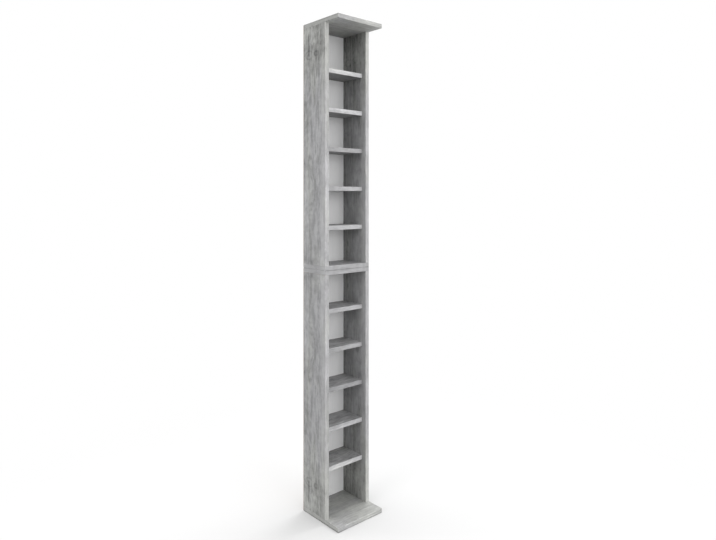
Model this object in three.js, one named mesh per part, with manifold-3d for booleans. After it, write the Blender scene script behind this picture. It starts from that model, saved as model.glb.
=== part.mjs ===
// Storage tower for CDs and DVDs, made of two equal open cabinets. The upper one stands upside
// down on the lower one, so a deep plate closes the tower at the floor and another at the top,
// and the two shallow plates meet at half the height.
//
// Lengths are in millimetres. X runs across the width, the open front looks along -Y, +Z is up,
// and the origin is the middle of the footprint, on the floor. A cabinet is built in its own
// frame, which stands on the outer face of its deep plate.

import * as THREE from 'three';
import { mergeVertices } from 'three/addons/utils/BufferGeometryUtils.js';
import Module from 'manifold-3d';

const wasm = await Module();
wasm.setup();

// Boards
const boardThickness = 16;
const clearWidth = 176; // between the two sides
const sideDepth = 130;
const plateOverhang = 71; // of a deep plate, in front of the sides
const backThickness = 3;
const backMargin = 1; // from the back panel's edge to the cabinet's outline
const seatGap = 0.05; // between two faces that rest on each other

// Compartments
const shelfCount = 5;
const compartmentHeight = 126.5; // a jewel case stands 125 high
const endCompartmentHeight = 155.5; // the one beside the deep plate
const shelfRecess = 21; // behind the sides' front edges
const shelfClearance = 0.5; // at both ends of a shelf and behind it

// Round pieces and the holes that they sit in
const fitGap = 0.2; // from a pin to the flats of its hole
const overrun = 2; // of a cutter past the face that it opens
const roundSides = 12;
const wireSides = 8;

// Shelf wires, bent into a U that lies flat
const wireDiameter = 3;
const wireStandOff = 1.5; // from the side's face to the wire's run
const wireLegDepth = 9; // in the side
const wireFrontInset = 14; // from the shelf's front edge to the front leg's axis
const wireRearInset = 14.5; // from the shelf's rear edge to the rear leg's axis
const wireHoleSpare = 1; // beyond the end of a leg
const bendSteps = 3;

// Dowels at the corners
const dowelDiameter = 8;
const dowelLength = 30;
const dowelPlateDepth = 10; // the share of its length that sits in the plate
const dowelChamfer = 1;
const dowelHoleSpare = 0.5; // beyond each end
const dowelFrontInset = 32; // from the sides' front edges to its axis

// Chipboard screws at the corners
const screw = {
  length: 50,
  headDiameter: 10,
  rimHeight: 1,
  headHeight: 3.5,
  neckDiameter: 7,
  neckEnd: 13,
  coreDiameter: 5,
  threadDiameter: 7,
  threadPitch: 4,
  tipHeight: 4,
  socketWidth: 4,
  socketDepth: 2.5,
};
const screwHeadSunk = 0.3; // below the plate's outer face
const screwHoleSpare = 2; // beyond the tip
const screwRearInset = 38; // from the sides' rear edges to its axis

// Sleeve connectors between the cabinets
const connector = {
  headDiameter: 11,
  rimHeight: 0.8,
  headHeight: 2.8,
  sleeveDiameter: 7,
  sleeveLength: 26,
  boreDepth: 18,
  screwDiameter: 4,
  screwLength: 20,
  screwPoint: 0.6,
  socketWidth: 3,
  socketDepth: 1.8,
};
const connectorHeadSunk = 0.2;
const connectorInset = 44; // from a side's inner face to its axis

// Finishes
const finishes = {
  board: { color: 0x9e9e9a, roughness: 0.62, metalness: 0 },
  back: { color: 0xb4b4b7, roughness: 0.55, metalness: 0 },
  zinc: { color: 0xb9bcc0, roughness: 0.35, metalness: 1 },
  wire: { color: 0x9da1a6, roughness: 0.3, metalness: 1 },
  beech: { color: 0xc9a574, roughness: 0.7, metalness: 0 },
};

// Places that follow from the sizes
const shelfPitch = boardThickness + compartmentHeight;
const innerHeight = endCompartmentHeight + shelfCount * shelfPitch;
const sideLength = innerHeight - 2 * seatGap;
const cabinetHeight = innerHeight + 2 * boardThickness;
const towerWidth = clearWidth + 2 * boardThickness;
const towerDepth = plateOverhang + sideDepth + seatGap + backThickness;

const plateFront = -towerDepth / 2;
const sideFront = plateFront + plateOverhang;
const sideRear = sideFront + sideDepth;
const sideMiddle = (sideFront + sideRear) / 2;
const sideAxis = (clearWidth + boardThickness) / 2;
const sideBottom = boardThickness + seatGap;
const middlePlateBottom = boardThickness + innerHeight;

const dowelY = sideFront + dowelFrontInset;
const screwY = sideRear - screwRearInset;
const connectorX = clearWidth / 2 - connectorInset;

const shelfLength = clearWidth - 2 * shelfClearance;
const shelfDepth = sideDepth - shelfRecess - shelfClearance;
const shelfFront = sideFront + shelfRecess;
const shelfMiddle = shelfFront + shelfDepth / 2;

const wireRunOffset = wireStandOff + wireDiameter / 2; // also the bend's radius
const wireFrontY = shelfFront + wireFrontInset;
const wireRearY = shelfFront + shelfDepth - wireRearInset;
const wireMiddleY = (wireFrontY + wireRearY) / 2;

// A geometry with its doubled vertices joined and the triangles that this closes up left out
function welded(geometry) {
  const bare = geometry.clone();
  bare.deleteAttribute('normal');
  bare.deleteAttribute('uv');
  const joined = mergeVertices(bare);
  const corners = joined.index.array;
  const kept = [];
  for (let i = 0; i < corners.length; i += 3) {
    const [a, b, c] = corners.slice(i, i + 3);
    if (a !== b && b !== c && c !== a) {
      kept.push(a, b, c);
    }
  }
  joined.setIndex(kept);
  return joined;
}

function solidOf(geometry) {
  const closed = welded(geometry);
  return new wasm.Manifold(new wasm.Mesh({
    numProp: 3,
    vertProperties: new Float32Array(closed.attributes.position.array),
    triVerts: new Uint32Array(closed.index.array),
  }));
}

function geometryOf(solid) {
  const { vertProperties, triVerts } = solid.getMesh();
  const geometry = new THREE.BufferGeometry();
  geometry.setAttribute('position', new THREE.BufferAttribute(vertProperties, 3));
  geometry.setIndex(new THREE.BufferAttribute(triVerts, 1));
  geometry.computeVertexNormals();
  return geometry;
}

function withCuts(geometry, cutters) {
  const cut = cutters.reduce((solid, cutter) => solid.subtract(solidOf(cutter)), solidOf(geometry));
  return geometryOf(cut);
}

// Radius of a hole's corners when its flats clear a pin of this diameter
function holeRadius(diameter) {
  return (diameter / 2 + fitGap) / Math.cos(Math.PI / roundSides);
}

// A hole along Z between two heights
function uprightHole(diameter, x, y, low, high) {
  const radius = holeRadius(diameter);
  const hole = new THREE.CylinderGeometry(radius, radius, high - low, roundSides);
  hole.rotateX(Math.PI / 2);
  hole.translate(x, y, (low + high) / 2);
  return hole;
}

// A hole along X between two places across the width
function crossHole(diameter, y, z, left, right) {
  const radius = holeRadius(diameter);
  const hole = new THREE.CylinderGeometry(radius, radius, right - left, roundSides);
  hole.rotateZ(Math.PI / 2);
  hole.translate((left + right) / 2, y, z);
  return hole;
}

// A round body along +Z from pairs of radius and height, listed from its low end up
function turned(profile) {
  const points = profile.map(([radius, height]) => new THREE.Vector2(radius, height));
  const body = new THREE.LatheGeometry(points, roundSides);
  body.rotateX(Math.PI / 2);
  return body;
}

// The pocket of a countersunk head and the plain hole behind it, from the head's outer face up
function headPocket(head, shaftDiameter, sunk, depth) {
  const widen = (diameter) => holeRadius(diameter);
  return turned([
    [0, -sunk - overrun],
    [widen(head.headDiameter), -sunk - overrun],
    [widen(head.headDiameter), head.rimHeight + fitGap],
    [widen(shaftDiameter), head.headHeight + fitGap],
    [widen(shaftDiameter), depth + overrun],
    [0, depth + overrun],
  ]);
}

function socketCutter(width, depth) {
  const sides = 6;
  const radius = width / 2 / Math.cos(Math.PI / sides);
  const cutter = new THREE.CylinderGeometry(radius, radius, depth + overrun, sides);
  cutter.rotateX(Math.PI / 2);
  cutter.translate(0, 0, (depth - overrun) / 2);
  return cutter;
}

// Corner screw with its head at the origin and its tip up, the thread as a row of ridges
function cornerScrewGeometry() {
  const coreRadius = screw.coreDiameter / 2;
  const profile = [
    [0, 0],
    [screw.headDiameter / 2, 0],
    [screw.headDiameter / 2, screw.rimHeight],
    [screw.neckDiameter / 2, screw.headHeight],
    [screw.neckDiameter / 2, screw.neckEnd],
    [coreRadius, screw.neckEnd],
  ];
  const threadEnd = screw.length - screw.tipHeight;
  const ridges = Math.floor((threadEnd - screw.neckEnd) / screw.threadPitch);
  for (let i = 0; i < ridges; i += 1) {
    const foot = screw.neckEnd + (i + 1 / 2) * screw.threadPitch;
    profile.push([coreRadius, foot]);
    profile.push([screw.threadDiameter / 2, foot + screw.threadPitch / 4]);
    profile.push([coreRadius, foot + screw.threadPitch / 2]);
  }
  profile.push([coreRadius, threadEnd], [0, screw.length]);
  return withCuts(turned(profile), [socketCutter(screw.socketWidth, screw.socketDepth)]);
}

function dowelGeometry() {
  const radius = dowelDiameter / 2;
  return welded(turned([
    [0, 0],
    [radius - dowelChamfer, 0],
    [radius, dowelChamfer],
    [radius, dowelLength - dowelChamfer],
    [radius - dowelChamfer, dowelLength],
    [0, dowelLength],
  ]));
}

// Connector pieces, each with its head at the origin and its shaft up
function connectorSleeveGeometry() {
  const boreRadius = holeRadius(connector.screwDiameter);
  const sleeve = turned([
    [0, 0],
    [connector.headDiameter / 2, 0],
    [connector.headDiameter / 2, connector.rimHeight],
    [connector.sleeveDiameter / 2, connector.headHeight],
    [connector.sleeveDiameter / 2, connector.sleeveLength],
    [boreRadius, connector.sleeveLength],
    [boreRadius, connector.sleeveLength - connector.boreDepth],
    [0, connector.sleeveLength - connector.boreDepth],
  ]);
  return withCuts(sleeve, [socketCutter(connector.socketWidth, connector.socketDepth)]);
}

function connectorScrewGeometry() {
  const shaftRadius = connector.screwDiameter / 2;
  const body = turned([
    [0, 0],
    [connector.headDiameter / 2, 0],
    [connector.headDiameter / 2, connector.rimHeight],
    [shaftRadius, connector.headHeight],
    [shaftRadius, connector.screwLength - connector.screwPoint],
    [shaftRadius - connector.screwPoint, connector.screwLength],
    [0, connector.screwLength],
  ]);
  return withCuts(body, [socketCutter(connector.socketWidth, connector.socketDepth)]);
}

// Centre line of a shelf wire: two legs along X and a run along Y, joined by two round bends.
// The side's face lies at x = 0 and the wire's middle at y = 0.
class ShelfWirePath extends THREE.Curve {
  constructor() {
    super();
    const halfSpan = (wireRearY - wireFrontY) / 2;
    this.stations = [new THREE.Vector3(-wireLegDepth, -halfSpan, 0)];
    for (let i = 0; i <= bendSteps; i += 1) {
      this.stations.push(this.onBend(halfSpan, (i / bendSteps) * (Math.PI / 2)));
    }
    const secondHalf = this.stations.map(({ x, y }) => new THREE.Vector3(x, -y, 0)).reverse();
    this.stations.push(...secondHalf);
  }

  onBend(halfSpan, angle) {
    return new THREE.Vector3(
      wireRunOffset * Math.sin(angle),
      wireRunOffset * (1 - Math.cos(angle)) - halfSpan,
      0,
    );
  }

  get steps() {
    return this.stations.length - 1;
  }

  getPointAt(share) {
    return this.stations[Math.round(share * this.steps)].clone();
  }

  getTangentAt(share) {
    const here = Math.round(share * this.steps);
    const before = this.stations[Math.max(here - 1, 0)];
    const after = this.stations[Math.min(here + 1, this.steps)];
    const toHere = this.stations[here].clone().sub(before).normalize();
    const fromHere = after.clone().sub(this.stations[here]).normalize();
    return toHere.add(fromHere).normalize();
  }
}

function shelfWireGeometry() {
  const section = new THREE.Shape();
  const radius = wireDiameter / 2;
  for (let i = 0; i < wireSides; i += 1) {
    const angle = ((i + 1 / 2) / wireSides) * 2 * Math.PI;
    const corner = [radius * Math.cos(angle), radius * Math.sin(angle)];
    if (i === 0) {
      section.moveTo(...corner);
    } else {
      section.lineTo(...corner);
    }
  }
  section.closePath();
  const path = new ShelfWirePath();
  const tube = new THREE.ExtrudeGeometry(section, { extrudePath: path, steps: path.steps });
  return welded(tube);
}

// Boards, each about its own middle
function sideGeometry(towardsMiddle) {
  const side = new THREE.BoxGeometry(boardThickness, sideDepth, sideLength);
  const innerFace = (towardsMiddle * boardThickness) / 2;
  const end = sideLength / 2;
  const cutters = [];
  for (let i = 0; i < shelfCount; i += 1) {
    const z = shelfHeight(i) - sideBottom - end;
    for (const y of [wireFrontY, wireRearY]) {
      const mouth = innerFace + towardsMiddle * overrun;
      const floor = innerFace - towardsMiddle * (wireLegDepth + wireHoleSpare);
      const [left, right] = [Math.min(mouth, floor), Math.max(mouth, floor)];
      cutters.push(crossHole(wireDiameter, y - sideMiddle, z, left, right));
    }
  }
  const dowelDepth = dowelLength - dowelPlateDepth - seatGap + dowelHoleSpare;
  const screwDepth = screw.length + screwHeadSunk - boardThickness - seatGap + screwHoleSpare;
  for (const up of [-1, 1]) {
    const holes = [[dowelDiameter, dowelY, dowelDepth], [screw.threadDiameter, screwY, screwDepth]];
    for (const [diameter, y, depth] of holes) {
      const [from, to] = [up * (end - depth), up * (end + overrun)];
      const [low, high] = [Math.min(from, to), Math.max(from, to)];
      cutters.push(uprightHole(diameter, 0, y - sideMiddle, low, high));
    }
  }
  return withCuts(side, cutters);
}

// A plate lies with its outer face down; a shallow one also takes the connectors, whose heads
// sit in its inner face
function plateGeometry(depth, middleY, takesConnectors) {
  const plate = new THREE.BoxGeometry(towerWidth, depth, boardThickness);
  const outerFace = -boardThickness / 2;
  const innerFace = boardThickness / 2;
  const cutters = [];
  for (const x of [-sideAxis, sideAxis]) {
    const dowelFloor = innerFace - dowelPlateDepth - dowelHoleSpare;
    cutters.push(uprightHole(dowelDiameter, x, dowelY - middleY, dowelFloor, innerFace + overrun));
    const pocket = headPocket(screw, screw.neckDiameter, screwHeadSunk, boardThickness);
    pocket.translate(x, screwY - middleY, outerFace + screwHeadSunk);
    cutters.push(pocket);
  }
  if (takesConnectors) {
    for (const x of [-connectorX, connectorX]) {
      const shaft = connector.sleeveDiameter;
      const pocket = headPocket(connector, shaft, connectorHeadSunk, boardThickness);
      pocket.rotateX(Math.PI);
      pocket.translate(x, sideMiddle - middleY, innerFace - connectorHeadSunk);
      cutters.push(pocket);
    }
  }
  return withCuts(plate, cutters);
}

// A shelf, with a groove in each end that is open at the rear and stops at the wire's front leg
function shelfGeometry() {
  const shelf = new THREE.BoxGeometry(shelfLength, shelfDepth, boardThickness);
  const grooveHeight = wireDiameter + 2 * fitGap;
  const grooveDepth = wireRunOffset + wireDiameter / 2 + fitGap - shelfClearance;
  const grooveFront = wireFrontY - wireDiameter / 2 - fitGap - shelfMiddle;
  const grooveRear = shelfDepth / 2 + overrun;
  const cutters = [-1, 1].map((towardsSide) => {
    const groove = new THREE.BoxGeometry(
      grooveDepth + overrun,
      grooveRear - grooveFront,
      grooveHeight,
    );
    const x = towardsSide * (shelfLength / 2 - (grooveDepth - overrun) / 2);
    groove.translate(x, (grooveFront + grooveRear) / 2, 0);
    return groove;
  });
  return withCuts(shelf, cutters);
}

// Height of a shelf's middle above the deep plate's outer face
function shelfHeight(index) {
  const lowest = boardThickness + endCompartmentHeight + boardThickness / 2;
  return lowest + index * shelfPitch;
}

const geometries = {
  leftSide: sideGeometry(1),
  rightSide: sideGeometry(-1),
  deepPlate: plateGeometry(plateOverhang + sideDepth, (plateFront + sideRear) / 2, false),
  shallowPlate: plateGeometry(sideDepth, sideMiddle, true),
  shelf: shelfGeometry(),
  back: new THREE.BoxGeometry(
    towerWidth - 2 * backMargin,
    backThickness,
    cabinetHeight - 2 * backMargin,
  ),
  wire: shelfWireGeometry(),
  cornerScrew: cornerScrewGeometry(),
  dowel: dowelGeometry(),
  connectorSleeve: connectorSleeveGeometry(),
  connectorScrew: connectorScrewGeometry(),
};

function piece(name, geometry, finish) {
  const mesh = new THREE.Mesh(geometry, new THREE.MeshStandardMaterial(finishes[finish]));
  mesh.name = name;
  return mesh;
}

// A plate's screw and dowel at one corner, pointing up from the plate's outer face
function cornerFasteners(name, x) {
  const corner = new THREE.Group();
  const cornerScrew = piece(`${name}_screw`, geometries.cornerScrew, 'zinc');
  cornerScrew.position.set(x, screwY, screwHeadSunk);
  const dowel = piece(`${name}_dowel`, geometries.dowel, 'beech');
  dowel.position.set(x, dowelY, boardThickness - dowelPlateDepth);
  corner.add(cornerScrew, dowel);
  return corner;
}

function plateWithFasteners(plate, cabinetName, endName, hand) {
  const end = new THREE.Group();
  end.add(plate);
  for (const across of [-1, 1]) {
    end.add(cornerFasteners(`${cabinetName}_${endName}_${hand(across)}`, across * sideAxis));
  }
  return end;
}

function shelfWithWires(name, hand) {
  const set = new THREE.Group();
  const shelf = piece(name, geometries.shelf, 'board');
  shelf.position.set(0, shelfMiddle, 0);
  set.add(shelf);
  for (const across of [-1, 1]) {
    const wire = piece(`${name}_${hand(across)}_wire`, geometries.wire, 'wire');
    wire.position.set((across * clearWidth) / 2, wireMiddleY, 0);
    wire.rotation.z = across < 0 ? 0 : Math.PI;
    set.add(wire);
  }
  return set;
}

// One cabinet. Turned upside down about the Y axis, its left hand is the tower's right, so the
// names of its pieces come from where they end up.
function cabinet(cabinetName, endName, deepPlateName, isTurned) {
  const group = new THREE.Group();
  const hand = (across) => ((across < 0) !== isTurned ? 'left' : 'right');

  const deepPlate = piece(deepPlateName, geometries.deepPlate, 'board');
  deepPlate.position.set(0, (plateFront + sideRear) / 2, boardThickness / 2);
  group.add(plateWithFasteners(deepPlate, cabinetName, endName, hand));

  const shallowPlate = piece(`${cabinetName}_middle_plate`, geometries.shallowPlate, 'board');
  shallowPlate.position.set(0, sideMiddle, boardThickness / 2);
  const middle = plateWithFasteners(shallowPlate, cabinetName, 'middle', (across) => hand(-across));
  middle.rotation.y = Math.PI;
  middle.position.z = middlePlateBottom + boardThickness;
  group.add(middle);

  for (const across of [-1, 1]) {
    const geometry = across < 0 ? geometries.leftSide : geometries.rightSide;
    const side = piece(`${cabinetName}_${hand(across)}_side`, geometry, 'board');
    side.position.set(across * sideAxis, sideMiddle, sideBottom + sideLength / 2);
    group.add(side);
  }

  for (let i = 0; i < shelfCount; i += 1) {
    const shelf = shelfWithWires(`${cabinetName}_shelf_${i + 1}`, hand);
    shelf.position.z = shelfHeight(i);
    group.add(shelf);
  }

  const back = piece(`${cabinetName}_back_panel`, geometries.back, 'back');
  back.position.set(0, sideRear + seatGap + backThickness / 2, cabinetHeight / 2);
  group.add(back);
  return group;
}

// The sleeves come down through the upper middle plate and the screws up through the lower one
function connectors() {
  const group = new THREE.Group();
  for (const [name, x] of [['left', -connectorX], ['right', connectorX]]) {
    const sleeve = piece(`connector_${name}_sleeve`, geometries.connectorSleeve, 'zinc');
    const upperFace = cabinetHeight + seatGap + boardThickness;
    sleeve.position.set(x, sideMiddle, upperFace - connectorHeadSunk);
    sleeve.rotation.x = Math.PI;
    const bolt = piece(`connector_${name}_screw`, geometries.connectorScrew, 'zinc');
    bolt.position.set(x, sideMiddle, middlePlateBottom + connectorHeadSunk);
    group.add(sleeve, bolt);
  }
  return group;
}

const tower = new THREE.Group();
const lower = cabinet('lower', 'base', 'base_plate', false);
const upper = cabinet('upper', 'top', 'top_plate', true);
upper.rotation.y = Math.PI;
upper.position.z = 2 * cabinetHeight + seatGap;
tower.add(lower, upper, connectors());

export default tower;
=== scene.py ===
"""Looks of the disc storage tower: printed boards, edge band, back panels and fittings.

Metres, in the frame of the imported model: X across the width, the open front looks along -Y and
+Z is up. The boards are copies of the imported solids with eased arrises, so every hole and groove
stays where it is. The small fittings are made again, round and fine, where their solids are.
"""

import math

import bmesh
import bpy
from mathutils import Matrix, Vector


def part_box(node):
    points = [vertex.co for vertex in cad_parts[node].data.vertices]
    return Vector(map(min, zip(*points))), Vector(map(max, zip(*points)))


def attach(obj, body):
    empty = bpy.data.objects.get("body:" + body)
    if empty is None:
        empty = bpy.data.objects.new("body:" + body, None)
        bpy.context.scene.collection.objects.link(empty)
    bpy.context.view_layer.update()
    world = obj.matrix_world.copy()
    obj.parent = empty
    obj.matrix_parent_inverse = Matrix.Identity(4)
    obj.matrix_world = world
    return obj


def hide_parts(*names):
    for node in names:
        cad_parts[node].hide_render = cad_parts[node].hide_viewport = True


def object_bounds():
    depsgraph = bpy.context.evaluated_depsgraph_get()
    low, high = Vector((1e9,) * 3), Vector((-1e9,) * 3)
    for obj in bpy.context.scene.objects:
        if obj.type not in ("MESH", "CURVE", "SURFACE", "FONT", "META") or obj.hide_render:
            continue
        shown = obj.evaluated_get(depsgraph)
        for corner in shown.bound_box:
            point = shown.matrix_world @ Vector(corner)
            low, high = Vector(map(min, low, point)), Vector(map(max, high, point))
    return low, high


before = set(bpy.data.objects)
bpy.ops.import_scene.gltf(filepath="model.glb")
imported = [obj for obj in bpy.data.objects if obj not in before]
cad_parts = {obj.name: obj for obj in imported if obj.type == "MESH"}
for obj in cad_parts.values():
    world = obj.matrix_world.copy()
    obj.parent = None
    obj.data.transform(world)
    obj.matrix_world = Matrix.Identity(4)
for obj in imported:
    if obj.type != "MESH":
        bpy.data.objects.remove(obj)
cad_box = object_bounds()
tower_rear = cad_box[1].y
tower_top = cad_box[1].z

MM = 0.001
X_AXIS, Y_AXIS, Z_AXIS = 0, 1, 2
FRONT, LEFT, RIGHT = (Y_AXIS, -1), (X_AXIS, -1), (X_AXIS, 1)

# The name of a board's measure across its edge: 0 in the middle and 1 at the face
ACROSS_EDGE = "across_edge"

# Camera, from the photograph's perspective
PHOTO_WIDTH = 716
PHOTO_HEIGHT = 540
FOCAL_PIXELS = 603.9
HORIZON_ROW = 197.42
SENSOR_WIDTH = 36.0
CAMERA_PLACE = (-1.43186, -1.71427, 1.16105)
CAMERA_TURN = 41.35
CAMERA_REACH = 60.0

# Light: where each lamp is, how wide and how strong
LAMP_AIM = (0.0, 0.0, 0.95)
LAMPS = {
    "left_lamp": ((-3.49, 0.0, 1.25), 2.0, 23.0),
    "upper_left_lamp": ((-3.12, -0.55, 2.43), 2.0, 24.5),
    "front_lamp": ((0.0, -3.47, 1.44), 2.0, 23.0),
    "front_right_lamp": ((1.7, -2.95, 1.6), 2.0, 9.0),
    "upper_right_lamp": ((1.72, 0.3, 3.98), 2.0, 84.0),
    "upper_rear_lamp": ((-0.5, 1.3, 3.9), 1.6, 24.0),
}

# Floor: its tone where it is seen and in the light that it returns, and where it fades to white
FLOOR_HALF = 12.0
FLOOR_SEEN_TONE = 0.62
FLOOR_TONE = 0.28
FLOOR_FADE = (0.7, 1.5)

# Tones, as linear reflectance
DECOR_COOL = (0.289, 0.289, 0.294)
DECOR_WARM = (0.298, 0.301, 0.289)
BACK_COAT = (0.88, 0.88, 0.882)
HARDBOARD = (0.19, 0.115, 0.062)
HARDBOARD_FIBRE = (0.3, 0.2, 0.115)
CHIP_DARK = (0.36, 0.26, 0.16)
CHIP_PALE = (0.6, 0.47, 0.31)
BEECH_DARK = (0.52, 0.33, 0.17)
BEECH_PALE = (0.64, 0.44, 0.25)
ZINC = (0.6, 0.61, 0.63)
DRAWN_STEEL = (0.46, 0.47, 0.49)

# How light each piece is, as a factor on the decor's tone. Partly a paler print on the bands and
# partly painted light and shade
SIDE_BAND_TONE_AND_LIGHT = {"lower": 1.56, "upper": 1.66}
# From shelf to shelf the bands are lighter or darker, lightest near the top and the bottom of the
# tower
SHELF_BAND_TONE_AND_LIGHT = {
    "upper_shelf_1": 2.32,
    "upper_shelf_2": 2.05,
    "upper_shelf_3": 1.5,
    "upper_shelf_4": 1.61,
    "upper_shelf_5": 1.82,
    "lower_shelf_5": 1.7,
    "lower_shelf_4": 1.44,
    "lower_shelf_3": 1.31,
    "lower_shelf_2": 1.68,
    "lower_shelf_1": 2.14,
}
# Painted shade on the shelves' undersides and painted light on their tops
SHELF_UNDER_PAINTED_SHADE = 0.92
SHELF_TOP_PAINTED_LIGHT = 1.2

# The same for each plate's face inside, its front band and its end bands. Partly a paler print and
# partly painted light: each front band lighter than its plate's end bands, and the top plate's
# underside lighter as if lit from below
PLATE_TONE_AND_LIGHT = {
    "base_plate": (1.14, 1.7, 1.13),
    "lower_middle_plate": (1.05, 1.42, 1.07),
    "upper_middle_plate": (1.05, 1.42, 1.07),
    "top_plate": (1.65, 1.63, 0.88),
}


# Shader maths

# The middle of a noise node's output, and what makes it mostly lie within 2 of zero
NOISE_MIDDLE = 0.5
NOISE_GAIN = 8.0


class Signal:
    """A socket's value in a finish, with the arithmetic that adds its Math nodes."""

    def __init__(self, finish, socket):
        self.finish = finish
        self.socket = socket

    def math(self, operation, *others):
        values = dict(enumerate((self, *others)))
        return self.finish.node("Math", {"operation": operation}, values)

    def __add__(self, other):
        return self.math("ADD", other)

    def __sub__(self, other):
        return self.math("SUBTRACT", other)

    def __rsub__(self, other):
        return self.finish.node("Math", {"operation": "SUBTRACT"}, {0: other, 1: self})

    def __mul__(self, other):
        return self.math("MULTIPLY", other)

    __radd__ = __add__

    def step(self, low, high):
        """0 at low, 1 at high and smooth between them. It falls when low is above high."""
        ends = {"From Min": min(low, high), "From Max": max(low, high)}
        settings = {"interpolation_type": "SMOOTHSTEP"}
        rising = self.finish.node("MapRange", settings, {"Value": self, **ends})
        return rising if low < high else 1 - rising

    def sine(self):
        return self.math("SINE")

    def scaled(self, factors):
        """A vector times one factor for each axis."""
        return self.finish.node("VectorMath", {"operation": "MULTIPLY"}, {0: self, 1: factors})

    def moved(self, by):
        return self.finish.node("VectorMath", {"operation": "ADD"}, {0: self, 1: by})

    def times(self, factor):
        """A colour made lighter or darker by a factor."""
        values = {"Vector": self, "Scale": factor}
        return self.finish.node("VectorMath", {"operation": "SCALE"}, values)

    def part(self, axis):
        """One axis of a vector."""
        return self.finish.node("SeparateXYZ", values={0: self}, output=axis)


def opaque(colour):
    return colour if isinstance(colour, Signal) else (*colour, 1.0)


class Finish:
    """A material, or the world, under construction."""

    def __init__(self, holder):
        self.holder = holder
        holder.use_nodes = True
        self.tree = holder.node_tree
        self.tree.nodes.clear()

    def node(self, kind, settings=None, values=None, output=0):
        node = self.tree.nodes.new("ShaderNode" + kind)
        for name, setting in (settings or {}).items():
            setattr(node, name, setting)
        for key, value in (values or {}).items():
            if isinstance(value, Signal):
                self.tree.links.new(value.socket, node.inputs[key])
            else:
                node.inputs[key].default_value = value
        return Signal(self, node.outputs[output]) if node.outputs else None

    def place(self):
        """Object coordinates, which are the frame's here."""
        return self.node("TexCoord", output="Object")

    def noise(self, at, detail=2.0, roughness=0.5):
        """Smooth noise about zero and mostly within 2 of it, with blots one unit of at wide."""
        values = {"Vector": at, "Scale": 1.0, "Detail": detail, "Roughness": roughness}
        return (self.node("TexNoise", values=values) - NOISE_MIDDLE) * NOISE_GAIN

    def cells(self, at):
        """Distance to the nearest of the points that are strewn one to a unit of at."""
        return self.node("TexVoronoi", values={"Vector": at, "Scale": 1.0})

    def mix(self, share, first, second):
        """A colour between two others."""
        values = {0: share, 6: opaque(first), 7: opaque(second)}
        return self.node("Mix", {"data_type": "RGBA"}, values, output=2)

    def even_tone(self, colour):
        """A colour as a signal, to be made lighter and darker from place to place."""
        return self.mix(0.0, colour, colour)

    def bump(self, height, distance, strength):
        values = {"Height": height, "Distance": distance, "Strength": strength}
        return self.node("Bump", values=values)

    def surface(self, base_color, roughness, normal=None, metallic=0.0, specular=0.5):
        """Ends the finish in a Principled surface and returns the material."""
        values = {
            "Base Color": opaque(base_color),
            "Roughness": roughness,
            "Metallic": metallic,
            "Specular IOR Level": specular,
        }
        if normal is not None:
            values["Normal"] = normal
        shader = self.node("BsdfPrincipled", values=values)
        self.node("OutputMaterial", values={"Surface": shader})
        return self.holder


def new_finish(name):
    return Finish(bpy.data.materials.new(name))


def stretched(grain, across, length):
    """Factors that make a pattern this wide across the grain and this long along it."""
    return [1 / (length if axis == grain else across) for axis in range(3)]


def even(size):
    """Factors that make a pattern this wide in every direction."""
    return 3 * [1 / size]


# Board decor: a print of weathered, plastered wood under a matte coat. Each of its marks is so wide
# across the grain and so long along it.

TONE_SIZE = (70 * MM, 210 * MM)
CLOUD_SIZE = (25 * MM, 84 * MM)
STREAK_SIZE = (6.5 * MM, 115 * MM)
FIBRE_SIZE = (1.1 * MM, 40 * MM)
PLASTER_SIZE = 20 * MM
GROWTH_SIZE = (75 * MM, 190 * MM)
KNOT_SPACING = (90 * MM, 330 * MM)
PORE_SPACING = (2.6 * MM, 20 * MM)
CRACK_SIZE = (9 * MM, 110 * MM)
WORN_SIZE = (9 * MM, 30 * MM)
TINT_SIZE = (45 * MM, 130 * MM)
SWAY_SIZE = (50 * MM, 70 * MM)
SWAY = 2.5 * MM

# How fast rings follow each other, in radians over a mark's own measure
GROWTH_TURN = 9.0
KNOT_TURN = 110.0
SWIRL_TURN = 6.5

# Where a mark starts and where it is full, on its own measure
KNOT_EDGE = (0.16, 0.05)
KNOT_RINGS_EDGE = (0.3, 0.1)
PORE_EDGE = (0.2, 0.08)
CRACK_EDGE = (0.075, 0.015)
CRACKED_CLOUDS = (0.5, -0.7)
WORN_EDGE = (0.9, 1.5)

# The pair of swirled knots near the deep plate: depth and height of its middle, and its sizes
SWIRLS_MIDDLE = (47 * MM, 118 * MM)
SWIRLS_APART = 45 * MM
SWIRL_SIZE = (24 * MM, 15 * MM)
SWIRL_EDGE = (1.25, 0.85)
SWIRL_RING_EDGE = (-0.7, 0.9)
SWIRL_RAGGEDNESS = 0.13
SWIRLS_PHASE = 0.3
SWIRLS_TWIST = 1.2 / (22 * MM)

# How much lighter or darker each kind of mark is, and how high or deep
BROAD_MARKS = {
    "tone": 0.075,
    "clouds": 0.14,
    "rings": 0.05,
    "knot_rings": 0.07,
    "swirls": -0.2,
    "knots": -0.24,
}
FINE_MARKS = {
    "streaks": 0.16,
    "fibres": 0.1,
    "plaster": 0.11,
    "worn": 0.15,
    "pores": -0.15,
    "cracks": -0.26,
}
RELIEF = {"streaks": 0.25, "fibres": 0.5, "pores": -1.5, "cracks": -2.0}

# A cabinet's end beside its deep plate, as a share of the tower's height
END_SHARE = 0.22

# Warmth: what the end adds, what blots make of it, what each direction of the grain takes away,
# and the values at which the print is wholly cool and wholly warm
END_WARMTH = 2.2
WARMTH_VARIATION = 0.7
UPRIGHT_COOLNESS = 0.8
LEVEL_COOLNESS = 1.6
WARMTH_RANGE = (-1.2, 1.3)

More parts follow.
